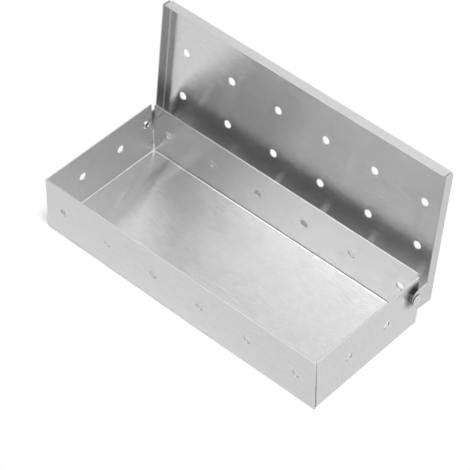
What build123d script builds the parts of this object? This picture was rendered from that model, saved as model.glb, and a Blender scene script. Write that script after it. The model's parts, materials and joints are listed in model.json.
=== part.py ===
from build123d import *
import os
from math import acos, asin, atan2, cos, degrees, hypot, radians, sin

# Grill smoker box: a tray folded from one steel sheet, and a perforated lid that swings on
# two shoulder rivets. Sizes are in millimetres. +X runs along the box, +Y to the hinge side
# and +Z up. The origin is at the middle of the tray's underside. The lid is drawn standing open.

# Sheet, the same for tray and lid
sheet = 0.8
bend_inside = 1.0
edge_wear = 0.16

# Tray, over its outer faces
tray_length = 225.0
tray_depth = 97.2
tray_height = 42.0

# Vent holes: the same punch and spacing in the tray and in the lid
hole_diameter = 5.6
hole_pitch = 39.1
row_pitch = 34.5
hole_height = 22.2
column_margin = 10.0
row_margin = 20.0

# Open corners of the tray
front_seam_at_rim = 0.3
front_seam_at_floor = 1.5
rear_slot = 1.3
rear_slot_depth = 22.0
rear_seam = 0.25
corner_relief_height = 6.0
rear_corner_round = 1.2

# Hinge axis, in from the back wall's outer face and down from the rim
hinge_inset = 7.0
hinge_drop = 14.3

# Lid
lid_lean = 6.0
lid_side_gap = 1.1
lid_side_shift = 0.9
lid_front_gap = 0.6
lid_swing_gap = 0.5
lid_stop_gap = 0.15
lid_tail = 10.0
flange_depth = 8.0

# Hinge ears, measured from the hinge axis along the plate and square to it
ear_root = 7.8
ear_point_forward = 5.4
ear_point_reach = 9.0
ear_tail_setback = 3.4
ear_nose_round = 5.6

# Shoulder rivets
neck_diameter = 3.6
neck_clearance = 0.02
shoulder_diameter = 4.5
shoulder_clearance = 0.05
head_gap = 0.1
head_diameter = 7.2
head_rim = 0.6
head_dome = 1.1
tail_diameter = 6.4
tail_height = 1.2
tail_bore = 2.8
tail_bore_depth = 3.6

# Every cut runs this far past what it cuts
overrun = 3.0

# Worked out from the sizes above
bend_outside = bend_inside + sheet
edge_round = min(edge_wear, sheet / 4)
half_length = tray_length / 2
half_depth = tray_depth / 2
hinge_y = half_depth - hinge_inset
hinge_z = tray_height - hinge_drop
plate_rise = hypot(hinge_inset, hinge_drop) + lid_swing_gap
lid_reach = tray_depth - hinge_inset + lid_front_gap + sheet
lid_length = tray_length + 2 * (lid_side_gap + sheet)
axis_height = plate_rise + sheet
shoulder_length = sheet + lid_side_gap + lid_side_shift + head_gap


def spaced(pitch, span, margin):
    """Places of as many holes as fit on a span, set about its middle."""
    gaps = max(0, int((span - 2 * margin) / pitch))
    return [(i - gaps / 2) * pitch for i in range(gaps + 1)]


def fold_section(wall_height):
    """Section of a quarter bend and its wall: x outwards from the fold line, y up."""
    ring = Circle(bend_outside) - Circle(bend_inside)
    bend = ring & Rectangle(bend_outside, bend_outside, align=(Align.MIN, Align.MAX))
    wall = Rectangle(sheet, wall_height - bend_outside, align=(Align.MIN, Align.MIN))
    return Pos(0, bend_outside) * (bend + Pos(bend_inside, 0) * wall)


def outline(points, rounds=()):
    """Flat outline of a flap through its points, with some corners rounded."""
    face = make_face(Polyline(*points, close=True))
    for corner, radius in rounds:
        nearest = face.vertices().sort_by_distance(Vector(*corner))[0]
        face = fillet(nearest, radius)
    return face


def flap_across(fold_line, reach, side, shape, wall_height):
    """Wall that stands on a fold along X, at the front (side -1) or back (side 1)."""
    across = Plane((0, side * fold_line, 0), x_dir=(0, side, 0), z_dir=(side, 0, 0))
    blank = extrude(across * fold_section(wall_height), reach, both=True)
    facing = Plane((0, 0, 0), x_dir=(1, 0, 0), z_dir=(0, -1, 0))
    return blank & extrude(facing * shape, fold_line + bend_outside + overrun, both=True)


def flap_along(fold_line, reach, side, shape, wall_height):
    """Wall that stands on a fold along Y, at the left (side -1) or right (side 1)."""
    across = Plane((side * fold_line, 0, 0), x_dir=(side, 0, 0), z_dir=(0, -side, 0))
    blank = extrude(across * fold_section(wall_height), reach, both=True)
    facing = Plane((0, 0, 0), x_dir=(0, 1, 0), z_dir=(1, 0, 0))
    return blank & extrude(facing * shape, fold_line + bend_outside + overrun, both=True)


def drill(direction, places, diameter, depth):
    """Round cutters of one diameter along one direction, each centred on its place."""
    turn = {"x": Rot(0, 90, 0), "y": Rot(90, 0, 0), "z": Rot(0, 0, 0)}[direction]
    return [Pos(*place) * turn * Cylinder(diameter / 2, depth) for place in places]


def make_tray():
    rim = tray_height
    wide = half_length - bend_outside
    deep = half_depth - bend_outside
    slot_foot = rim - rear_slot_depth
    floor = Pos(0, 0, sheet / 2) * Box(2 * wide, 2 * deep, sheet)

    front = flap_across(deep, half_length, -1, outline([
        (-half_length, 0), (half_length, 0), (half_length, rim), (-half_length, rim)]), rim)

    slot_x = half_length - sheet - rear_slot
    seam_x = half_length - sheet - rear_seam
    back = flap_across(deep, half_length, 1, outline([
        (-wide, 0), (wide, 0), (wide, corner_relief_height), (seam_x, corner_relief_height),
        (seam_x, slot_foot), (slot_x, slot_foot), (slot_x, rim), (-slot_x, rim),
        (-slot_x, slot_foot), (-seam_x, slot_foot), (-seam_x, corner_relief_height),
        (-wide, corner_relief_height)],
        rounds=[((slot_x, rim), rear_corner_round), ((-slot_x, rim), rear_corner_round)]), rim)

    front_y = sheet - half_depth
    slot_y = half_depth - sheet - rear_slot
    seam_y = half_depth - sheet - rear_seam
    end_shape = outline([
        (front_y + front_seam_at_floor, 0), (deep, 0), (deep, corner_relief_height),
        (seam_y, corner_relief_height), (seam_y, slot_foot), (slot_y, slot_foot),
        (slot_y, rim), (front_y + front_seam_at_rim, rim)])
    ends = [flap_along(wide, half_depth, side, end_shape, rim) for side in (-1, 1)]

    columns = spaced(hole_pitch, tray_length, column_margin)
    rows = spaced(row_pitch, tray_depth, row_margin)
    tray = floor + front + back + ends
    tray -= drill("y", [(x, 0, hole_height) for x in columns], hole_diameter, tray_depth + overrun)
    tray -= drill("x", [(0, y, hole_height) for y in rows], hole_diameter, tray_length + overrun)
    neck_hole = neck_diameter + 2 * neck_clearance
    tray -= drill("x", [(0, hinge_y, hinge_z)], neck_hole, tray_length + overrun)
    return fillet(punched_edges(tray, hole_diameter) + edges_in(tray, "Z", rim), edge_round)


def punched_edges(solid, diameter):
    """Circular edges that a punch of one diameter leaves on both faces of the sheet."""
    circles = solid.edges().filter_by(GeomType.CIRCLE)
    return circles.filter_by(lambda edge: abs(2 * edge.radius - diameter) < edge_round / 2)


def edges_in(solid, letter, place):
    """Edges that lie in the plane across one axis at one place."""
    def lies_there(edge):
        box = edge.bounding_box()
        low = getattr(box.min, letter)
        high = getattr(box.max, letter)
        return max(abs(low - place), abs(high - place)) < edge_round / 2
    return solid.edges().filter_by(lies_there)


def make_lid():
    """The lid is drawn with its plate's outer face down, then turned on to the hinge."""
    wide = lid_length / 2 - bend_outside
    front_fold = lid_reach - bend_outside
    middle = (lid_tail - lid_reach) / 2
    plate = Pos(0, (lid_tail - front_fold) / 2, sheet / 2) * Box(2 * wide, lid_tail + front_fold, sheet)

    front = flap_across(front_fold, lid_length, -1, outline([
        (-wide, 0), (wide, 0), (wide, flange_depth), (-wide, flange_depth)]), flange_depth)

    side_shape = outline([
        (-front_fold, 0), (lid_tail, 0), (lid_tail, axis_height - ear_tail_setback),
        (-ear_point_forward, axis_height + ear_point_reach), (-ear_root, flange_depth),
        (-lid_reach, flange_depth), (-lid_reach, bend_outside), (-front_fold, bend_outside)],
        rounds=[((-ear_point_forward, axis_height + ear_point_reach), ear_nose_round)])
    ear_height = axis_height + ear_point_reach
    sides = [flap_along(wide, lid_reach + lid_tail, side, side_shape, ear_height) for side in (-1, 1)]

    columns = spaced(hole_pitch, tray_length, column_margin)
    rows = spaced(row_pitch, lid_reach + lid_tail, row_margin)
    lid = plate + front + sides
    vents = [(x, middle + y, 0) for x in columns for y in rows]
    lid -= drill("z", vents, hole_diameter, 2 * (sheet + overrun))
    ear_bore = shoulder_diameter + 2 * shoulder_clearance
    lid -= drill("x", [(0, 0, axis_height)], ear_bore, lid_length + overrun)

    rounded = punched_edges(lid, hole_diameter)
    for x in (-lid_length / 2, sheet - lid_length / 2, lid_length / 2 - sheet, lid_length / 2):
        rounded += edges_in(lid, "X", x)
    rounded += edges_in(lid, "Y", -lid_reach) + edges_in(lid, "Y", sheet - lid_reach)
    rounded = rounded - edges_in(lid, "Z", bend_outside) - punched_edges(lid, ear_bore)
    lid = fillet(rounded.filter_by(lambda edge: edge.length > sheet + edge_round), edge_round)

    lean = radians(lid_lean)
    back_of_lid = Vector(0, cos(lean), -sin(lean))
    plate_centre = Vector(lid_side_shift, hinge_y, hinge_z) + back_of_lid * axis_height
    standing = Plane(plate_centre, x_dir=(-1, 0, 0), z_dir=-back_of_lid)
    return standing * lid


def make_rivet():
    """Right-hand rivet, turned about its own axis: x from the wall's outer face, y the radius."""
    head_start = shoulder_length
    rim_end = head_start + head_rim
    inner_face = -sheet
    bead = (tail_diameter + tail_bore) / 4
    bead_top = inner_face - tail_height
    bore_end = bead_top + tail_bore_depth
    head_radius = head_diameter / 2
    dome_radius = (head_radius ** 2 + head_dome ** 2) / (2 * head_dome)
    half_angle = asin(head_radius / dome_radius) / 2
    dome_end = rim_end + head_dome
    dome_middle = (dome_end - dome_radius * (1 - cos(half_angle)), dome_radius * sin(half_angle))
    profile = Polyline(
        (inner_face, tail_diameter / 2), (inner_face, neck_diameter / 2), (0, neck_diameter / 2),
        (0, shoulder_diameter / 2), (head_start, shoulder_diameter / 2),
        (head_start, head_radius), (rim_end, head_radius))
    dome = ThreePointArc((rim_end, head_radius), dome_middle, (dome_end, 0))
    core = Polyline(
        (dome_end, 0), (bore_end, 0), (bore_end, tail_bore / 2), (inner_face, tail_bore / 2))
    roll = ThreePointArc((inner_face, tail_bore / 2), (bead_top, bead), (inner_face, tail_diameter / 2))
    section = make_face([*profile.edges(), dome, *core.edges(), roll])
    return Pos(half_length, hinge_y, hinge_z) * revolve(section, Axis.X)


def swing_limits():
    """Degrees from the open pose back to the wall stop, and forward until the lid lies shut."""
    tail_angle = atan2(lid_tail, plate_rise)
    wall_angle = acos((hinge_inset + lid_stop_gap) / hypot(lid_tail, plate_rise))
    back_lean = degrees(wall_angle - tail_angle)
    rim_angle = atan2(hinge_drop, tray_depth - hinge_inset)
    plate_angle = asin((plate_rise - lid_stop_gap) / hypot(tray_depth - hinge_inset, hinge_drop))
    tip = degrees(plate_angle - rim_angle)
    return lid_lean - back_lean, 90 + lid_lean + tip


rivet = make_rivet()
parts = {
    "tray": make_tray(),
    "lid": make_lid(),
    "hinge_rivet_left": mirror(rivet, Plane.YZ),
    "hinge_rivet_right": rivet,
}

os.makedirs("parts", exist_ok=True)
for name, shape in parts.items():
    export_step(shape, f"parts/{name}.step")

print("hinge axis y, z:", round(hinge_y, 3), round(hinge_z, 3))
print("lid swing from the open pose, degrees:", [round(limit, 2) for limit in swing_limits()])
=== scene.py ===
import json
import math

import bmesh
import bpy
from bpy.props import FloatProperty, FloatVectorProperty, IntProperty, PointerProperty
from mathutils import Matrix, Vector


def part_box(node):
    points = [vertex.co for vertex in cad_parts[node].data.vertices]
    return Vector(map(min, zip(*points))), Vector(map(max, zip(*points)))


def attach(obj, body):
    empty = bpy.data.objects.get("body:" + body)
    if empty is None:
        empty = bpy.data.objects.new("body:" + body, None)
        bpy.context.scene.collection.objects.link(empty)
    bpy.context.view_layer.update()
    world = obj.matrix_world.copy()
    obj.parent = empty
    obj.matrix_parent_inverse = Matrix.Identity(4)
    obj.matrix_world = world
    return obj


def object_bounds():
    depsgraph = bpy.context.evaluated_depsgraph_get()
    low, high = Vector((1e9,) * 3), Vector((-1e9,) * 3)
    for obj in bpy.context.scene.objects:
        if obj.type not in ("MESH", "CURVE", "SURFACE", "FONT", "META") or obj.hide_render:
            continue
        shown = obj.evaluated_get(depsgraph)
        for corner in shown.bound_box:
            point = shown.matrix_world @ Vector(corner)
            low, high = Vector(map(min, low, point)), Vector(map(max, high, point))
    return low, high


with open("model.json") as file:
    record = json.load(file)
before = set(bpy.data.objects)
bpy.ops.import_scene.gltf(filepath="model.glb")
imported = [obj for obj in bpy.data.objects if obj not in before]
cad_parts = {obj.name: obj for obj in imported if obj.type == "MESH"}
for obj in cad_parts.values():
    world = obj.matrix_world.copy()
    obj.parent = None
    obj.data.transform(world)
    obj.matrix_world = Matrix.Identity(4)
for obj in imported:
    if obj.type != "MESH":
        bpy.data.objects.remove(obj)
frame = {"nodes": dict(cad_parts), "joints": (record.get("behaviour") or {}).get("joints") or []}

bl_info = {
    "name": "Grill Smoker Box Looks",
    "version": (1, 0, 0),
    "blender": (4, 5, 0),
    "location": "3D View > Sidebar > Smoker Box",
    "description": "Steel finishes, punched vent rims and a studio for a hinged grill smoker box",
    "category": "Object",
}

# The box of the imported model, before anything is added to it
CAD_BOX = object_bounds()
MM = 0.001

# The lid hinge, read from the frame: the lid stands open, leaning back from upright
HINGE = Vector(frame["joints"][0]["pos_m"])
LID_LEAN = math.radians(6.0)

# Kinds of shader node that are used all through
MATHS = "ShaderNodeMath"
VECTOR = "ShaderNodeVectorMath"
RANGE = "ShaderNodeMapRange"
NOISE = "ShaderNodeTexNoise"
BUMP = "ShaderNodeBump"
MIX = "ShaderNodeMix"
METAL = "ShaderNodeBsdfPrincipled"
SURFACE = "ShaderNodeOutputMaterial"

WHITE = (1.0, 1.0, 1.0, 1.0)
BLACK = (0.0, 0.0, 0.0, 1.0)
AS_IT_STANDS = (0.0, 0.0, 0.0)

# A face that points further than this along or across the box is on a wall
WALL_FACING = 0.7
# Added to the direction across the grain, so that a face that looks along the grain has one too
ANY_WAY = (0.0, 0.01, 0.0)

# How streaks and flecks add up to a tone, from 0, the darkest steel, to 1, the lightest
STREAK_TONE, FLECK_TONE, TONE_START = 1.0, 0.8, -0.4
# What each pattern adds to the sheet's roughness; streaks and haze then even out to nothing
STREAK_ROUGH, HAZE_ROUGH, SCRATCH_ROUGH, PAINTED_SHADE_ROUGH = 0.02, 0.04, 0.02, 0.2
# Only the highest peaks of the noise are scratches, slanted to the grain
SCRATCH_FROM, SCRATCH_FULL = 0.76, 0.84
SCRATCH_SLANT = math.radians(24)

# Pits of the sheared steel and wear of the turned steel: their darker tone and added roughness
PIT_TONE, PIT_ROUGH = 0.8, 0.2
WEAR_TONE, WEAR_ROUGH = 0.9, 0.1

# A shoulder gets none of the painted shade out to this share of its radius, so that its edge stays bright too
UNSHADED_SHARE = 1.05
# Up the rim of a head, the painted shade is full over this share of its creep and then fades
FULL_PAINTED_SHADE_SHARE = 0.6

# Share of the sheet's thickness that the punch leaves torn; it cuts the rest clean
LAND_SHARE = 0.62
# Faces round the section of a burr
BURR_SIDES = 8
# Corners of one mesh that lie closer than this are one
SAME_PLACE = 0.0001 * MM

# The paper's fibres are finer than this; they are drawn at a size that shows
FIBRE_SIZE, FIBRE_HEIGHT, FIBRE_STRENGTH = 0.8 * MM, 0.02 * MM, 0.3
# From the floor's middle to its sides, and how far it lies under the box, so that the two don't mix
FLOOR_REACH = 4.0
FLOOR_DROP = 0.1 * MM

# The white that the steel mirrors of the air grows brighter this way, from one end to the other
TO_BACK_RIGHT = (1.0, 0.9, 0.0)
DIM_END, BRIGHT_END = -0.9, 0.6


def linear(hex_colour):
    """Linear red, green and blue of an sRGB hex colour."""
    channels = [int(hex_colour[i:i + 2], 16) / 255 for i in (1, 3, 5)]
    return tuple(c / 12.92 if c <= 0.04045 else ((c + 0.055) / 1.055) ** 2.4 for c in channels)


def shade(colour, amount=1.0):
    """A colour as a socket takes it, darker or lighter by an amount."""
    return (*(amount * channel for channel in colour), 1.0)


def length(name, millimetres, description):
    """A length setting, given in millimetres and kept in metres."""
    return FloatProperty(name=name, description=description, default=millimetres * MM,
                         min=0.0, unit="LENGTH", precision=5)


def share(name, value, description):
    """A setting between nothing and all."""
    return FloatProperty(name=name, description=description, default=value,
                         min=0.0, max=1.0, subtype="FACTOR")


def tone(name, hex_colour, description):
    """A colour setting, given as sRGB hex."""
    return FloatVectorProperty(name=name, description=description, default=linear(hex_colour),
                               min=0.0, max=1.0, subtype="COLOR")


class SmokerSheetSettings(bpy.types.PropertyGroup):
    """Finish of the cold-rolled sheet that the tray and the lid are folded from."""
    steel: tone("Steel", "#CFCFCF", "Colour of the bare stainless sheet")
    tone_spread: share("Tone Spread", 0.08, "How far streaks and flecks darken and lighten the steel")
    roughness: share("Roughness", 0.2, "How far reflections blur, before the grain stretches them")
    direction: share("Direction", 1.0, "How much more reflections blur across the grain than along it")
    grain_width: length("Grain Width", 0.9, "Width of one rolled streak")
    grain_length: length("Grain Length", 9.0, "Length of one rolled streak")
    hair_width: length("Hair Width", 0.12, "Width of one of the hairlines that the rolls leave")
    hair_length: length("Hair Length", 12.0, "Length of one hairline")
    hair_slope: share("Hair Slope", 0.3, "How steeply the hairlines tip the surface from side to side")
    mottle_size: length("Mottle Size", 2.2, "Size of the pale and dark flecks of the rolled skin")
    mottle_height: length("Mottle Height", 0.0004, "Height of the flecks")
    haze_size: length("Haze Size", 80.0, "Size of the duller patches that wiping leaves")
    ripple_size: length("Ripple Size", 48.0, "Distance between the shallow waves of the thin sheet")
    ripple_height: length("Ripple Height", 0.035, "Height of the shallow waves of the thin sheet")
    scratch_width: length("Scratch Width", 0.35, "Width of a handling scratch")
    scratch_length: length("Scratch Length", 16.0, "Length of a handling scratch")
    springback: FloatProperty(name="Springback", default=math.radians(1.8), subtype="ANGLE",
                              description="How far a folded wall's mirror image tips outwards")
    # Painted shade: the outside faces of the tray and the lid are darkened against their inside
    tray_outside_shade: share("Tray Outside Shade", 0.02, "How much darker the tray's outside is than its inside")
    lid_outside_shade: share("Lid Outside Shade", 0.13, "How much darker the lid's outside is than its inside")
    thickness: length("Thickness", 0.8, "Thickness of the sheet")
    bend: length("Bend", 1.8, "Outer radius of every fold")


class SmokerVentSettings(bpy.types.PropertyGroup):
    """The punched vent holes and the sheared rim inside each."""
    diameter: length("Diameter", 5.6, "Diameter of a vent hole")
    pitch: length("Pitch", 39.1, "Distance between holes along the box")
    row_pitch: length("Row Pitch", 34.5, "Distance between the lid's rows, and an end wall's holes")
    height: length("Height", 22.2, "Height of the walls' holes above the ground")
    row_offset: length("Row Offset", 40.8, "From the hinge axis up the lid to midway between its rows")
    plate_rise: length("Plate Rise", 17.22, "From the hinge axis square to the lid to its outer face")
    side_shift: length("Side Shift", 0.9, "How far the lid has slid along its rivets")
    count: IntProperty(name="Count", description="Holes in a long row", default=6, min=1)
    rows: IntProperty(name="Rows", description="Rows in the lid, and holes in an end wall", default=2,
                      min=1)
    skin: length("Skin", 0.1, "Radial thickness of the sheared land")
    proud: length("Proud", 0.03, "How far the land stands inside the hole's edge")
    lip: length("Lip", 0.09, "Thickness of the burr that the punch leaves round the hole")
    sides: IntProperty(name="Sides", description="Faces round one rim", default=40, min=12)
    steel: tone("Steel", "#D0D0D0", "Colour of the sheared steel")
    roughness: share("Roughness", 0.28, "Blur of the sheared steel")
    pit_size: length("Pit Size", 0.3, "Size of the pits that tearing leaves")
    pit_depth: length("Pit Depth", 0.01, "Depth of the pits")


class SmokerRivetSettings(bpy.types.PropertyGroup):
    """Finish of the two shoulder rivets, and the shade painted dark into the crevices about them."""
    steel: tone("Steel", "#D2D2D2", "Colour of the turned stainless rivets")
    roughness: share("Roughness", 0.09, "Blur of the rivets' reflections")
    ring_pitch: length("Ring Pitch", 0.28, "Distance between turning marks")
    ring_height: length("Ring Height", 0.004, "Height of the turning marks")
    wear_size: length("Wear Size", 1.6, "Size of the rubbed patches")
    shoulder: length("Shoulder", 4.5, "Diameter of the shoulder that the ear turns on")
    head: length("Head", 7.2, "Diameter of the head")
    head_start: length("Head Start", 115.4, "From the box's middle to the head's side towards the ear")
    wall: length("Wall", 112.1, "From the box's middle to the middle of the sheet of an end wall")
    ear: length("Ear", 114.0, "From the lid's middle to the middle of the sheet of its ears")
    # The crevices about the hinges get painted shade: their colour is mixed towards this dark colour
    painted_shade: tone("Painted Shade", "#2A2A2A", "Colour of the soot that gathers at the hinges")
    painted_shade_creep: length("Soot Creep", 0.45, "How far soot shows past a head, on its rim and on the ear")
    painted_shade_spread: length("Soot Spread", 6.5, "How far soot reaches from under a head, by ear and wall")
    painted_shade_depth: share("Soot Depth", 0.74, "How much of the steel the soot hides")


class SmokerStudioSettings(bpy.types.PropertyGroup):
    """Floor, light and camera."""
    floor: tone("Floor", "#FAFAFA", "Colour of the paper floor")
    clear: length("Clear", 14.0, "How far from the box the paper has turned pure white")
    clear_right: length("Clear Right", 110.0, "How far right of the box's middle it has")
    air: share("Air", 0.42, "Strength of the light from all round")
    seen: FloatProperty(name="Seen", default=1.5,
                        description="Strength of the white that the steel mirrors from the back right")
    seen_left: FloatProperty(name="Seen Left", default=0.5,
                             description="Strength of the white that it mirrors from the front left")
    panel_size: FloatVectorProperty(name="Panel Size", size=2, default=(1.05, 0.77), unit="LENGTH",
                                    description="Width and depth of the light panel overhead")
    panel_place: FloatVectorProperty(name="Panel Place", description="Middle of the light panel overhead",
                                     default=(-0.135, -0.455, 1.0), subtype="TRANSLATION")
    panel_power: FloatProperty(name="Panel Power", description="Power of the light panel overhead",
                               default=6.73, unit="POWER")
    fill_size: FloatVectorProperty(name="Fill Size", size=2, default=(1.0, 1.4), unit="LENGTH",
                                   description="Width and depth of the light over the paper")
    fill_place: FloatVectorProperty(name="Fill Place", description="Middle of the light over the paper",
                                    default=(0.55, -0.45, 1.2), subtype="TRANSLATION")
    fill_power: FloatProperty(name="Fill Power", description="Power of the light over the paper",
                              default=20.5, unit="POWER")
    lens: length("Lens", 180.65, "Focal length")
    distance: length("Distance", 1445.9, "From the camera to the point that it looks at")
    azimuth: FloatProperty(name="Azimuth", description="Turn of the camera to the right of the front",
                           default=math.radians(41.95), subtype="ANGLE")
    elevation: FloatProperty(name="Elevation", description="Height of the camera above the horizon",
                             default=math.radians(46.03), subtype="ANGLE")
    roll: FloatProperty(name="Roll", description="Turn of the camera about its own line of sight",
                        default=math.radians(0.72), subtype="ANGLE")
    aim: FloatVectorProperty(name="Aim", description="Point that the camera looks at",
                             default=(7.54 * MM, -3.7 * MM, 42.48 * MM), subtype="TRANSLATION")


def add(tree, kind, inputs=(), **settings):
    """Add a node to a tree, with its settings, and its inputs' values or links."""
    made = tree.nodes.new(kind)
    for name, value in settings.items():
        setattr(made, name, value)
    for socket, value in dict(inputs).items():
        if isinstance(value, bpy.types.NodeSocket):
            tree.links.new(value, made.inputs[socket])
        else:
            made.inputs[socket].default_value = value
    return made


def blank_material(name):
    """A material whose node tree is still empty."""
    material = bpy.data.materials.new(name)
    material.use_nodes = True
    material.node_tree.nodes.clear()
    return material


def back_to_world(tree, way, turn, kind):
    """A direction on the laid-down sheet as one of the world; the kind is VECTOR or NORMAL."""
    back = add(tree, "ShaderNodeVectorRotate", {"Vector": way, "Rotation": turn},
               rotation_type="EULER_XYZ", invert=True).outputs[0]
    world = add(tree, "ShaderNodeVectorTransform", {0: back}, vector_type=kind,
                convert_from="OBJECT", convert_to="WORLD").outputs[0]
    return add(tree, VECTOR, {0: world}, operation="NORMALIZE").outputs[0]


def flat_pattern(tree, turn, shift, springback):
    """Where each point lay on the flat blank before folding, and which way its face looks.

    The turn and the shift lay the sheet down on the outer face of its floor or plate. The results
    are the place on the part, the place on the flat blank, the direction across the rolled grain,
    which follows the sheet round every fold, the way that the face looks once the folded walls have
    sprung back a little, and whether the face is an outer one.
    """
    texture = add(tree, "ShaderNodeTexCoord").outputs
    laid = add(tree, "ShaderNodeMapping", {"Vector": texture["Object"], "Rotation": turn,
                                           "Location": shift}, vector_type="POINT").outputs[0]
    facing = add(tree, "ShaderNodeMapping", {"Vector": texture["Normal"], "Rotation": turn},
                 vector_type="VECTOR").outputs[0]
    at = add(tree, "ShaderNodeSeparateXYZ", {0: laid}).outputs
    to = add(tree, "ShaderNodeSeparateXYZ", {0: facing}).outputs

    # A wall's height is added to the place of its fold, as if the wall lay flat outside it
    flat = []
    outward = 0.0
    for axis in (0, 1):
        steep = add(tree, MATHS, {0: to[axis]}, operation="ABSOLUTE").outputs[0]
        on_wall = add(tree, MATHS, {0: steep, 1: WALL_FACING}, operation="GREATER_THAN").outputs[0]
        side = add(tree, MATHS, {0: at[axis]}, operation="SIGN").outputs[0]
        outward = add(tree, MATHS, {0: to[axis], 1: side, 2: outward},
                      operation="MULTIPLY_ADD").outputs[0]
        climb = add(tree, MATHS, {0: on_wall, 1: at[2]}, operation="MULTIPLY").outputs[0]
        flat.append(add(tree, MATHS, {0: climb, 1: side, 2: at[axis]},
                        operation="MULTIPLY_ADD").outputs[0])
    blank = add(tree, "ShaderNodeCombineXYZ", {0: flat[0], 1: flat[1]}).outputs[0]

    # The grain runs along the box, so what crosses it is square to that and to the face
    square = add(tree, VECTOR, {0: (1.0, 0.0, 0.0), 1: facing}, operation="CROSS_PRODUCT").outputs[0]
    nudged = add(tree, VECTOR, {0: square, 1: ANY_WAY}, operation="ADD").outputs[0]
    across = back_to_world(tree, nudged, turn, "VECTOR")

    # A wall that has sprung back looks down a little outside and up a little inside
    tip = add(tree, MATHS, {0: outward, 1: -math.tan(springback)}, operation="MULTIPLY").outputs[0]
    lift = add(tree, "ShaderNodeCombineXYZ", {2: tip}).outputs[0]
    tipped = add(tree, VECTOR, {0: facing, 1: lift}, operation="ADD").outputs[0]
    looks = back_to_world(tree, tipped, turn, "NORMAL")

    outer = add(tree, MATHS, {0: outward, 1: to[2]}, operation="SUBTRACT", use_clamp=True).outputs[0]
    return texture["Object"], blank, across, looks, outer


def streaks(tree, place, long, wide, detail):
    """Noise drawn out one way on the flat blank, in streaks so long and so wide."""
    drawn = add(tree, VECTOR, {0: place, 1: (1 / long, 1 / wide, 0.0)}, operation="MULTIPLY").outputs[0]
    return add(tree, NOISE, {"Vector": drawn, "Scale": 1.0, "Detail": detail},
               noise_dimensions="2D").outputs[0]


def about_hinge(tree, place):
    """Distance along the hinge axis from the box's middle, and distance out from the axis."""
    from_axis = add(tree, VECTOR, {0: place, 1: tuple(HINGE)}, operation="SUBTRACT").outputs[0]
    square = add(tree, VECTOR, {0: from_axis, 1: (0.0, 1.0, 1.0)}, operation="MULTIPLY").outputs[0]
    radius = add(tree, VECTOR, {0: square}, operation="LENGTH").outputs["Value"]
    return add(tree, "ShaderNodeSeparateXYZ", {0: from_axis}).outputs[0], radius


def hinge_painted_shade(tree, place, rivets, side_shift=0.0):
    """How much painted shade each point gets: dark in the crevices about the two rivets, and none on the
    shoulders.
    """
    along, radius = about_hinge(tree, place)
    reach = add(tree, MATHS, {0: along}, operation="ABSOLUTE").outputs[0]
    slid = add(tree, MATHS, {0: along, 1: side_shift}, operation="SUBTRACT").outputs[0]
    lid_reach = add(tree, MATHS, {0: slid}, operation="ABSOLUTE").outputs[0]
    beyond_wall = add(tree, MATHS, {0: reach, 1: rivets.wall}, operation="GREATER_THAN").outputs[0]
    off_shoulder = add(tree, MATHS, {0: radius, 1: UNSHADED_SHARE * rivets.shoulder / 2},
                       operation="GREATER_THAN").outputs[0]

    # Between ear and wall the painted shade is deep beside the shoulder, where shadow falls and the wall
    # mirrors the dark gap, and it thins out a good way from it
    under = rivets.head / 2
    wide = add(tree, RANGE, {"Value": radius, "From Min": under, "From Max": under + rivets.painted_shade_spread,
                             "To Min": 1.0, "To Max": 0.0}, interpolation_type="SMOOTHSTEP").outputs[0]
    within_ear = add(tree, MATHS, {0: lid_reach, 1: rivets.ear}, operation="LESS_THAN").outputs[0]
    in_gap = add(tree, MATHS, {0: beyond_wall, 1: within_ear}, operation="MULTIPLY").outputs[0]
    hidden = add(tree, MATHS, {0: wide, 1: in_gap}, operation="MULTIPLY").outputs[0]

    # From under each head the painted shade creeps out as a thin ring, on to the ear and up the head's rim,
    # where the crevice lies in shade
    narrow = add(tree, RANGE, {"Value": radius, "From Min": under, "From Max": under + rivets.painted_shade_creep,
                               "To Min": 1.0, "To Max": 0.0}).outputs[0]
    up_rim = add(tree, RANGE, {"Value": reach,
                               "From Min": rivets.head_start + FULL_PAINTED_SHADE_SHARE * rivets.painted_shade_creep,
                               "From Max": rivets.head_start + rivets.painted_shade_creep,
                               "To Min": 1.0, "To Max": 0.0}).outputs[0]
    ring = add(tree, MATHS, {0: narrow, 1: up_rim}, operation="MULTIPLY").outputs[0]
    ring = add(tree, MATHS, {0: ring, 1: beyond_wall}, operation="MULTIPLY").outputs[0]

    painted_shade = add(tree, MATHS, {0: hidden, 1: ring}, operation="MAXIMUM").outputs[0]
    painted_shade = add(tree, MATHS, {0: painted_shade, 1: off_shoulder}, operation="MULTIPLY").outputs[0]
    return add(tree, MATHS, {0: painted_shade, 1: rivets.painted_shade_depth}, operation="MULTIPLY").outputs[0]


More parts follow.
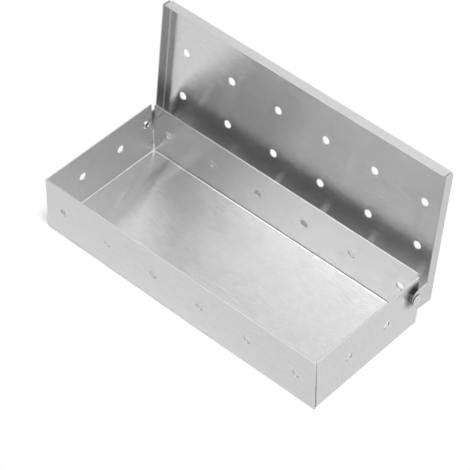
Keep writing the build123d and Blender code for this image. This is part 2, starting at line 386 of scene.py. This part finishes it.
def sheet_material(name, finish, rivets, outside_shade, turn=AS_IT_STANDS, shift=AS_IT_STANDS, side_shift=0.0):
    """Cold-rolled stainless sheet: a semi-mirror whose grain smears reflections one way."""
    material = blank_material(name)
    tree = material.node_tree
    place, blank, across, looks, outer = flat_pattern(tree, turn, shift, finish.springback)

    # Rolling leaves long faint streaks, so the tone wanders across the grain and not along it
    grain = streaks(tree, blank, finish.grain_length, finish.grain_width, 3.0)

    # Hairlines finer than this cover rolled sheet; each tips the face across the grain, which
    # draws a reflection out that way and leaves it crisp along the grain
    hairs = streaks(tree, blank, finish.hair_length, finish.hair_width, 1.0)
    tip = add(tree, MATHS, {0: hairs, 1: finish.hair_slope, 2: -finish.hair_slope / 2},
              operation="MULTIPLY_ADD").outputs[0]
    aside = add(tree, VECTOR, {0: across, 3: tip}, operation="SCALE").outputs[0]
    leaning = add(tree, VECTOR, {0: looks, 1: aside}, operation="ADD").outputs[0]
    combed = add(tree, VECTOR, {0: leaning}, operation="NORMALIZE").outputs[0]

    # The rolled skin is mottled finer than this; it is drawn at a size that shows
    mottle = add(tree, NOISE, {"Vector": place, "Scale": 1 / finish.mottle_size,
                               "Detail": 4.0, "Roughness": 0.6}).outputs[0]

    # Wiping and handling leave broad patches that are a little duller
    haze = add(tree, NOISE, {"Vector": place, "Scale": 1 / finish.haze_size,
                             "Detail": 3.0, "Distortion": 0.6}).outputs[0]

    # Handling scratches are short and thin, and catch a little light
    slanted = add(tree, "ShaderNodeVectorRotate", {"Vector": blank, "Angle": SCRATCH_SLANT},
                  rotation_type="Z_AXIS").outputs[0]
    scrapes = streaks(tree, slanted, finish.scratch_length, finish.scratch_width, 0.0)
    scratch = add(tree, RANGE, {"Value": scrapes, "From Min": SCRATCH_FROM, "From Max": SCRATCH_FULL,
                                "To Max": 1.0}).outputs[0]

    toned = add(tree, MATHS, {0: grain, 1: STREAK_TONE, 2: TONE_START}, operation="MULTIPLY_ADD").outputs[0]
    toned = add(tree, MATHS, {0: mottle, 1: FLECK_TONE, 2: toned}, operation="MULTIPLY_ADD").outputs[0]
    colour = add(tree, MIX, {0: toned, 6: shade(finish.steel, 1 - finish.tone_spread),
                             7: shade(finish.steel, 1 + finish.tone_spread)}, data_type="RGBA").outputs[2]

    start = finish.roughness - (STREAK_ROUGH + HAZE_ROUGH) / 2
    rough = add(tree, MATHS, {0: grain, 1: STREAK_ROUGH, 2: start}, operation="MULTIPLY_ADD").outputs[0]
    rough = add(tree, MATHS, {0: haze, 1: HAZE_ROUGH, 2: rough}, operation="MULTIPLY_ADD").outputs[0]
    rough = add(tree, MATHS, {0: scratch, 1: SCRATCH_ROUGH, 2: rough}, operation="MULTIPLY_ADD").outputs[0]

    # The outside faces are painted darker than the inside: painted shade that stands in for the dimmer
    # reflections that they show
    outside_shade_share = add(tree, MATHS, {0: outer, 1: outside_shade}, operation="MULTIPLY").outputs[0]
    colour = add(tree, MIX, {0: outside_shade_share, 6: colour, 7: BLACK}, data_type="RGBA").outputs[2]

    # Painted shade in the hinge crevices: the colour is darkened there, and the roughness is raised
    painted_shade = hinge_painted_shade(tree, place, rivets, side_shift)
    colour = add(tree, MIX, {0: painted_shade, 6: colour, 7: shade(rivets.painted_shade)}, data_type="RGBA").outputs[2]
    rough = add(tree, MATHS, {0: painted_shade, 1: PAINTED_SHADE_ROUGH, 2: rough}, operation="MULTIPLY_ADD").outputs[0]

    # Thin sheet is never quite flat, so long straight reflections waver
    ripple = add(tree, NOISE, {"Vector": place, "Scale": 1 / finish.ripple_size, "Detail": 0.0}).outputs[0]
    wave = add(tree, BUMP, {"Height": ripple, "Distance": finish.ripple_height, "Strength": 1.0,
                            "Normal": combed}).outputs[0]
    skin = add(tree, BUMP, {"Height": mottle, "Distance": finish.mottle_height, "Strength": 1.0,
                            "Normal": wave}).outputs[0]
    steel = add(tree, METAL, {"Base Color": colour, "Metallic": 1.0, "Roughness": rough,
                              "Anisotropic": finish.direction, "Tangent": across, "Normal": skin})
    add(tree, SURFACE, {0: steel.outputs[0]})
    return material


def sheared_material(finish):
    """Steel torn by the punch: duller and rougher than the rolled skin, with fine pits."""
    material = blank_material("sheared_stainless")
    tree = material.node_tree
    place = add(tree, "ShaderNodeTexCoord").outputs["Object"]
    pits = add(tree, NOISE, {"Vector": place, "Scale": 1 / finish.pit_size, "Detail": 4.0}).outputs[0]
    colour = add(tree, MIX, {0: pits, 6: shade(finish.steel, PIT_TONE), 7: shade(finish.steel)},
                 data_type="RGBA").outputs[2]
    rough = add(tree, MATHS, {0: pits, 1: PIT_ROUGH, 2: finish.roughness - PIT_ROUGH / 2},
                operation="MULTIPLY_ADD").outputs[0]
    bump = add(tree, BUMP, {"Height": pits, "Distance": finish.pit_depth, "Strength": 1.0}).outputs[0]
    steel = add(tree, METAL, {"Base Color": colour, "Metallic": 1.0, "Roughness": rough, "Normal": bump})
    add(tree, SURFACE, {0: steel.outputs[0]})
    return material


def turned_material(finish):
    """Turned stainless: fine rings about the rivet's own axis, which stretch its highlights."""
    material = blank_material("turned_stainless")
    tree = material.node_tree
    place = add(tree, "ShaderNodeTexCoord").outputs["Object"]

    # Turning marks are about 0.1 mm apart, too fine to show, so they are drawn coarser
    radius = about_hinge(tree, place)[1]
    count = add(tree, MATHS, {0: radius, 1: 1 / finish.ring_pitch}, operation="MULTIPLY").outputs[0]
    rings = add(tree, NOISE, {"W": count, "Scale": 1.0, "Detail": 2.0}, noise_dimensions="1D").outputs[0]
    bump = add(tree, BUMP, {"Height": rings, "Distance": finish.ring_height, "Strength": 1.0}).outputs[0]

    wear = add(tree, NOISE, {"Vector": place, "Scale": 1 / finish.wear_size, "Detail": 3.0}).outputs[0]
    colour = add(tree, MIX, {0: wear, 6: shade(finish.steel, WEAR_TONE), 7: shade(finish.steel)},
                 data_type="RGBA").outputs[2]
    rough = add(tree, MATHS, {0: wear, 1: WEAR_ROUGH, 2: finish.roughness - WEAR_ROUGH / 2},
                operation="MULTIPLY_ADD").outputs[0]
    # Painted shade in the crevice under each head darkens the turned steel
    painted_shade = hinge_painted_shade(tree, place, finish)
    colour = add(tree, MIX, {0: painted_shade, 6: colour, 7: shade(finish.painted_shade)}, data_type="RGBA").outputs[2]
    steel = add(tree, METAL, {"Base Color": colour, "Metallic": 1.0, "Roughness": rough, "Normal": bump})
    add(tree, SURFACE, {0: steel.outputs[0]})
    return material


def clear_of_box(tree, place, studio):
    """How far the paper has turned pure white: not at all at the box's foot, and wholly past a distance.

    The box's shadow lies on the paper in between. To the right, where the light comes from, it fades
    along the box, from its middle to near its right end.
    """
    low, high = (Vector(corner) for corner in CAD_BOX)
    lit_from = ((low.x + high.x) / 2, high.y, 0.0)
    before = add(tree, VECTOR, {0: tuple(low), 1: place}, operation="SUBTRACT").outputs[0]
    past = add(tree, VECTOR, {0: place, 1: lit_from}, operation="SUBTRACT").outputs[0]
    slower = (studio.clear / studio.clear_right, 1.0, 0.0)
    beyond = add(tree, VECTOR, {0: past, 1: slower}, operation="MULTIPLY").outputs[0]
    away = add(tree, VECTOR, {0: before, 1: beyond}, operation="MAXIMUM").outputs[0]
    outside = add(tree, VECTOR, {0: away, 1: (0.0, 0.0, 0.0)}, operation="MAXIMUM").outputs[0]
    reach = add(tree, VECTOR, {0: outside}, operation="LENGTH").outputs["Value"]
    return add(tree, RANGE, {"Value": reach, "From Max": studio.clear},
               interpolation_type="SMOOTHSTEP").outputs[0]


def under_tray(tree, place, bend):
    """Whether the paper is under the flat of the tray's bottom, within its folds."""
    low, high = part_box("tray")
    from_low = add(tree, VECTOR, {0: place, 1: tuple(low)}, operation="SUBTRACT").outputs[0]
    from_high = add(tree, VECTOR, {0: tuple(high), 1: place}, operation="SUBTRACT").outputs[0]
    nearest = add(tree, VECTOR, {0: from_low, 1: from_high}, operation="MINIMUM").outputs[0]
    inside = add(tree, "ShaderNodeSeparateXYZ", {0: nearest}).outputs
    deep = add(tree, MATHS, {0: inside[0], 1: inside[1]}, operation="MINIMUM").outputs[0]
    return add(tree, MATHS, {0: deep, 1: bend}, operation="GREATER_THAN").outputs[0]


def floor_material(studio, bend):
    """White paper: pure white to the camera and in the steel, but near the box a floor with a shadow."""
    material = blank_material("paper_floor")
    tree = material.node_tree
    place = add(tree, "ShaderNodeTexCoord").outputs["Object"]
    ray = add(tree, "ShaderNodeLightPath").outputs
    seen = add(tree, MATHS, {0: ray["Is Camera Ray"], 1: ray["Is Glossy Ray"]},
               operation="MAXIMUM").outputs[0]
    seen = add(tree, MATHS, {0: seen, 1: ray["Is Transmission Ray"]}, operation="MAXIMUM").outputs[0]

    # The tray's own bottom also mirrors white paper; nothing else sees the paper under it
    far = clear_of_box(tree, place, studio)
    under = under_tray(tree, place, bend)
    white_here = add(tree, MATHS, {0: far, 1: under}, operation="MAXIMUM").outputs[0]
    glow = add(tree, MATHS, {0: seen, 1: white_here}, operation="MULTIPLY").outputs[0]

    fibre = add(tree, NOISE, {"Vector": place, "Scale": 1 / FIBRE_SIZE, "Detail": 3.0}).outputs[0]
    grit = add(tree, BUMP, {"Height": fibre, "Distance": FIBRE_HEIGHT, "Strength": FIBRE_STRENGTH}).outputs[0]
    paper = add(tree, "ShaderNodeBsdfDiffuse", {"Color": shade(studio.floor), "Normal": grit}).outputs[0]
    white = add(tree, "ShaderNodeEmission", {"Color": WHITE, "Strength": 1.0}).outputs[0]
    front = add(tree, "ShaderNodeMixShader", {0: glow, 1: paper, 2: white}).outputs[0]

    # From below the paper can't be seen, so that views of the box's underside show it
    below = add(tree, "ShaderNodeNewGeometry").outputs["Backfacing"]
    nothing = add(tree, "ShaderNodeBsdfTransparent").outputs[0]
    sheet = add(tree, "ShaderNodeMixShader", {0: below, 1: front, 2: nothing})
    add(tree, SURFACE, {0: sheet.outputs[0]})
    return material


def studio_air(studio):
    """White surroundings: plain light on everything, and white for the camera.

    What the steel mirrors of them grows brighter from the front left, where it is a dim white, to
    the back right, so that faces that look different ways also look different.
    """
    world = bpy.data.worlds.new("studio_air")
    world.use_nodes = True
    tree = world.node_tree
    tree.nodes.clear()
    way = add(tree, "ShaderNodeTexCoord").outputs["Generated"]
    to_light = add(tree, VECTOR, {0: way, 1: TO_BACK_RIGHT}, operation="DOT_PRODUCT").outputs["Value"]
    mirrored = add(tree, RANGE, {"Value": to_light, "From Min": DIM_END, "From Max": BRIGHT_END,
                                 "To Min": studio.seen_left, "To Max": studio.seen}).outputs[0]
    ray = add(tree, "ShaderNodeLightPath").outputs
    lighting = add(tree, MATHS, {0: ray["Diffuse Depth"], 1: 0.5}, operation="GREATER_THAN").outputs[0]
    lit = add(tree, MIX, {0: lighting, 2: mirrored, 3: studio.air}, data_type="FLOAT").outputs[0]
    strength = add(tree, MATHS, {0: lit, 1: ray["Is Camera Ray"]}, operation="MAXIMUM").outputs[0]
    air = add(tree, "ShaderNodeBackground", {"Color": WHITE, "Strength": strength})
    add(tree, "ShaderNodeOutputWorld", {0: air.outputs[0]})
    return world


def dress(node, material):
    """Give a CAD node one material in place of the plain one that it came with."""
    shown = frame["nodes"][node]
    for slot in shown.material_slots:
        slot.material = material
    if not shown.material_slots:
        shown.data.materials.append(material)


def vent_rim_tree():
    """Geometry nodes: a sheared land and a burr round the hole at each point of the input."""
    tree = bpy.data.node_groups.new("vent_rims", "GeometryNodeTree")
    face = tree.interface
    face.new_socket("Geometry", in_out="INPUT", socket_type="NodeSocketGeometry")
    for name in ("Hole Diameter", "Thickness", "Skin", "Proud", "Lip"):
        face.new_socket(name, in_out="INPUT", socket_type="NodeSocketFloat").subtype = "DISTANCE"
    face.new_socket("Sides", in_out="INPUT", socket_type="NodeSocketInt")
    face.new_socket("Material", in_out="INPUT", socket_type="NodeSocketMaterial")
    face.new_socket("Geometry", in_out="OUTPUT", socket_type="NodeSocketGeometry")

    size = add(tree, "NodeGroupInput").outputs
    radius = add(tree, MATHS, {0: size["Hole Diameter"], 1: 0.5}, operation="MULTIPLY").outputs[0]
    half_skin = add(tree, MATHS, {0: size["Skin"], 1: 0.5}, operation="MULTIPLY").outputs[0]
    inset = add(tree, MATHS, {0: half_skin, 1: size["Proud"]}, operation="SUBTRACT").outputs[0]
    land_radius = add(tree, MATHS, {0: radius, 1: inset}, operation="ADD").outputs[0]
    land_height = add(tree, MATHS, {0: size["Thickness"], 1: LAND_SHARE}, operation="MULTIPLY").outputs[0]
    land_path = add(tree, "GeometryNodeCurvePrimitiveCircle",
                    {"Resolution": size["Sides"], "Radius": land_radius}).outputs[0]
    land_section = add(tree, "GeometryNodeCurvePrimitiveQuadrilateral",
                       {"Width": size["Skin"], "Height": land_height}).outputs[0]
    land = add(tree, "GeometryNodeCurveToMesh", {0: land_path, 1: land_section}).outputs[0]

    half_lip = add(tree, MATHS, {0: size["Lip"], 1: 0.5}, operation="MULTIPLY").outputs[0]
    lip_radius = add(tree, MATHS, {0: radius, 1: size["Lip"]}, operation="ADD").outputs[0]
    lip_path = add(tree, "GeometryNodeCurvePrimitiveCircle",
                   {"Resolution": size["Sides"], "Radius": lip_radius}).outputs[0]
    lip_section = add(tree, "GeometryNodeCurvePrimitiveCircle",
                      {"Resolution": BURR_SIDES, "Radius": half_lip}).outputs[0]
    lip_ring = add(tree, "GeometryNodeCurveToMesh", {0: lip_path, 1: lip_section}).outputs[0]
    drop = add(tree, MATHS, {0: size["Thickness"], 1: -0.5}, operation="MULTIPLY").outputs[0]
    lip_place = add(tree, "ShaderNodeCombineXYZ", {2: drop}).outputs[0]
    lip = add(tree, "GeometryNodeTransform", {0: lip_ring, "Translation": lip_place}).outputs[0]

    rim = add(tree, "GeometryNodeJoinGeometry")
    for part in (land, lip):
        tree.links.new(part, rim.inputs[0])
    facing = add(tree, "GeometryNodeInputNamedAttribute", {"Name": "facing"},
                 data_type="FLOAT_VECTOR").outputs[0]
    turn = add(tree, "FunctionNodeAlignRotationToVector", {"Vector": facing}, axis="Z").outputs[0]
    copies = add(tree, "GeometryNodeInstanceOnPoints", {
        "Points": size["Geometry"], "Instance": rim.outputs[0], "Rotation": turn}).outputs[0]
    real = add(tree, "GeometryNodeRealizeInstances", {0: copies}).outputs[0]
    dressed = add(tree, "GeometryNodeSetMaterial", {0: real, "Material": size["Material"]}).outputs[0]
    add(tree, "NodeGroupOutput", {0: dressed})
    return tree


def run_tree(name, tree, places, values):
    """Run a geometry tree on points that each face a way, and return the result as a plain mesh object."""
    points = bpy.data.meshes.new(name + "_points")
    points.from_pydata([place for place, _ in places], [], [])
    facing = points.attributes.new("facing", "FLOAT_VECTOR", "POINT")
    for index, (_, way) in enumerate(places):
        facing.data[index].vector = way
    source = bpy.data.objects.new(name + "_source", points)
    bpy.context.scene.collection.objects.link(source)
    modifier = source.modifiers.new("make", "NODES")
    modifier.node_group = tree
    for item in tree.interface.items_tree:
        if item.item_type == "SOCKET" and item.in_out == "INPUT" and item.name in values:
            modifier[item.identifier] = values[item.name]
    ready = source.evaluated_get(bpy.context.evaluated_depsgraph_get())
    mesh = bpy.data.meshes.new_from_object(ready)
    bpy.data.objects.remove(source)
    bpy.data.meshes.remove(points)

    # Swept rings can end where they began with a double corner, or come out inside out
    shape = bmesh.new()
    shape.from_mesh(mesh)
    bmesh.ops.remove_doubles(shape, verts=shape.verts, dist=SAME_PLACE)
    bmesh.ops.recalc_face_normals(shape, faces=shape.faces)
    shape.to_mesh(mesh)
    shape.free()
    mesh.name = name
    piece = bpy.data.objects.new(name, mesh)
    bpy.context.scene.collection.objects.link(piece)
    return piece


def spread(count, pitch):
    """Places of so many holes at one pitch, set about the middle."""
    return [(i - (count - 1) / 2) * pitch for i in range(count)]


def tray_vents(vents, sheet):
    """Middle of the sheet in each hole of the tray's walls, and the way out of the tray."""
    low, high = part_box("tray")
    half = sheet.thickness / 2
    places = []
    for x in spread(vents.count, vents.pitch):
        places.append(((x, low.y + half, vents.height), (0, -1, 0)))
        places.append(((x, high.y - half, vents.height), (0, 1, 0)))
    for y in spread(vents.rows, vents.row_pitch):
        places.append(((low.x + half, y, vents.height), (-1, 0, 0)))
        places.append(((high.x - half, y, vents.height), (1, 0, 0)))
    return places


def lid_vents(vents, sheet):
    """Middle of the sheet in each hole of the lid's plate, and the way out of the lid."""
    up = Vector((0, math.sin(LID_LEAN), math.cos(LID_LEAN)))
    out = Vector((0, math.cos(LID_LEAN), -math.sin(LID_LEAN)))
    start = HINGE + Vector((vents.side_shift, 0, 0)) + out * (vents.plate_rise - sheet.thickness / 2)
    places = []
    for x in spread(vents.count, vents.pitch):
        for rise in spread(vents.rows, vents.row_pitch):
            place = start + Vector((x, 0, 0)) + up * (vents.row_offset + rise)
            places.append((tuple(place), tuple(out)))
    return places


class SMOKER_OT_finish_sheets(bpy.types.Operator):
    """Give the tray and the lid their rolled stainless finish"""
    bl_idname = "smoker.finish_sheets"
    bl_label = "Finish Sheets"

    def execute(self, context):
        finish = context.scene.smoker_sheet
        vents = context.scene.smoker_vents
        rivets = context.scene.smoker_rivets
        dress("tray", sheet_material("rolled_stainless_tray", finish, rivets, finish.tray_outside_shade))

        # Turned and shifted so, the lid lies on its plate's outer face, as the tray does on its floor
        turn = -(math.pi / 2 - LID_LEAN)
        shift = Matrix.Rotation(turn, 3, "X") @ -HINGE + Vector((-vents.side_shift, 0, vents.plate_rise))
        dress("lid", sheet_material("rolled_stainless_lid", finish, rivets, finish.lid_outside_shade,
                                    (turn, 0.0, 0.0), tuple(shift), vents.side_shift))
        return {"FINISHED"}


class SMOKER_OT_finish_rivets(bpy.types.Operator):
    """Give the two hinge rivets their turned stainless finish"""
    bl_idname = "smoker.finish_rivets"
    bl_label = "Finish Rivets"

    def execute(self, context):
        material = turned_material(context.scene.smoker_rivets)
        for node in ("hinge_rivet_left", "hinge_rivet_right"):
            dress(node, material)
        return {"FINISHED"}


class SMOKER_OT_vent_rims(bpy.types.Operator):
    """Line every punched vent hole with its sheared rim"""
    bl_idname = "smoker.vent_rims"
    bl_label = "Add Vent Rims"

    def execute(self, context):
        vents = context.scene.smoker_vents
        sheet = context.scene.smoker_sheet
        values = {"Hole Diameter": vents.diameter, "Thickness": sheet.thickness, "Skin": vents.skin,
                  "Proud": vents.proud, "Lip": vents.lip, "Sides": vents.sides,
                  "Material": sheared_material(vents)}
        tree = vent_rim_tree()
        for body, places in (("tray", tray_vents(vents, sheet)), ("lid", lid_vents(vents, sheet))):
            piece = run_tree(body + "_vent_rims", tree, places, values)
            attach(piece, body)
        return {"FINISHED"}


def lay_floor(material):
    """A wide flat floor, a hair below the box."""
    height = CAD_BOX[0][2] - FLOOR_DROP
    corners = [(x * FLOOR_REACH, y * FLOOR_REACH, height) for x, y in ((-1, -1), (1, -1), (1, 1), (-1, 1))]
    mesh = bpy.data.meshes.new("floor")
    mesh.from_pydata(corners, [], [(0, 1, 2, 3)])
    mesh.materials.append(material)
    floor = bpy.data.objects.new("floor", mesh)
    bpy.context.scene.collection.objects.link(floor)
    return floor


def hang_light(name, size, place, power, facing):
    """A flat light, so wide and so deep, that hangs at a place and shines away from a direction."""
    light = bpy.data.lights.new(name, "AREA")
    light.shape = "RECTANGLE"
    light.size, light.size_y = size
    light.energy = power
    hung = bpy.data.objects.new(name, light)
    hung.location = place
    hung.rotation_euler = Vector(facing).to_track_quat("Z", "Y").to_euler()
    bpy.context.scene.collection.objects.link(hung)
    return hung


def aim_camera(studio):
    """A camera that looks at its aim from the photograph's side and height."""
    lens = bpy.data.cameras.new("camera")
    lens.lens = studio.lens / MM
    camera = bpy.data.objects.new("camera", lens)
    back = Vector((math.sin(studio.azimuth) * math.cos(studio.elevation),
                   -math.cos(studio.azimuth) * math.cos(studio.elevation),
                   math.sin(studio.elevation)))
    aimed = (-back).to_track_quat("-Z", "Y").to_matrix().to_4x4()
    rolled = aimed @ Matrix.Rotation(studio.roll, 4, "Z")
    camera.matrix_world = Matrix.Translation(Vector(studio.aim) + back * studio.distance) @ rolled
    bpy.context.scene.collection.objects.link(camera)
    return camera


class SMOKER_OT_studio(bpy.types.Operator):
    """Lay the floor, hang the lights and place the camera"""
    bl_idname = "smoker.studio"
    bl_label = "Set Up Studio"

    def execute(self, context):
        scene = context.scene
        studio = scene.smoker_studio
        floor = lay_floor(floor_material(studio, scene.smoker_sheet.bend))
        scene.world = studio_air(studio)

        # The steel mirrors the panel alone, and of the two only the fill lights the paper, so that
        # there is one broad highlight, and a shadow that falls to the back left
        panel = hang_light("panel", studio.panel_size, studio.panel_place, studio.panel_power, (0, 0, 1))
        panel.visible_diffuse = False
        fill = hang_light("fill", studio.fill_size, studio.fill_place, studio.fill_power, studio.fill_place)
        fill.visible_glossy = False

        scene.camera = aim_camera(studio)
        scene.view_settings.view_transform = "Standard"
        return {"FINISHED"}


class SMOKER_PT_sidebar(bpy.types.Panel):
    """Sidebar panel that lists the steps"""
    bl_idname = "SMOKER_PT_sidebar"
    bl_label = "Smoker Box"
    bl_space_type = "VIEW_3D"
    bl_region_type = "UI"
    bl_category = "Smoker Box"

    def draw(self, context):
        for step in STEPS:
            self.layout.operator(step.bl_idname)
        for group in SETTINGS:
            values = getattr(context.scene, group)
            for name in values.bl_rna.properties.keys():
                if name not in {"rna_type", "name"}:
                    self.layout.prop(values, name)


STEPS = (SMOKER_OT_finish_sheets, SMOKER_OT_finish_rivets, SMOKER_OT_vent_rims, SMOKER_OT_studio)
SETTINGS = {
    "smoker_sheet": SmokerSheetSettings,
    "smoker_vents": SmokerVentSettings,
    "smoker_rivets": SmokerRivetSettings,
    "smoker_studio": SmokerStudioSettings,
}
CLASSES = (*SETTINGS.values(), *STEPS, SMOKER_PT_sidebar)


def register():
    for kind in CLASSES:
        bpy.utils.register_class(kind)
    for name, group in SETTINGS.items():
        setattr(bpy.types.Scene, name, PointerProperty(type=group))


def unregister():
    for name in SETTINGS:
        delattr(bpy.types.Scene, name)
    for kind in reversed(CLASSES):
        bpy.utils.unregister_class(kind)


def main():
    """Run every step in order."""
    register()
    bpy.ops.smoker.finish_sheets()
    bpy.ops.smoker.finish_rivets()
    bpy.ops.smoker.vent_rims()
    bpy.ops.smoker.studio()


if __name__ == "__main__":
    main()
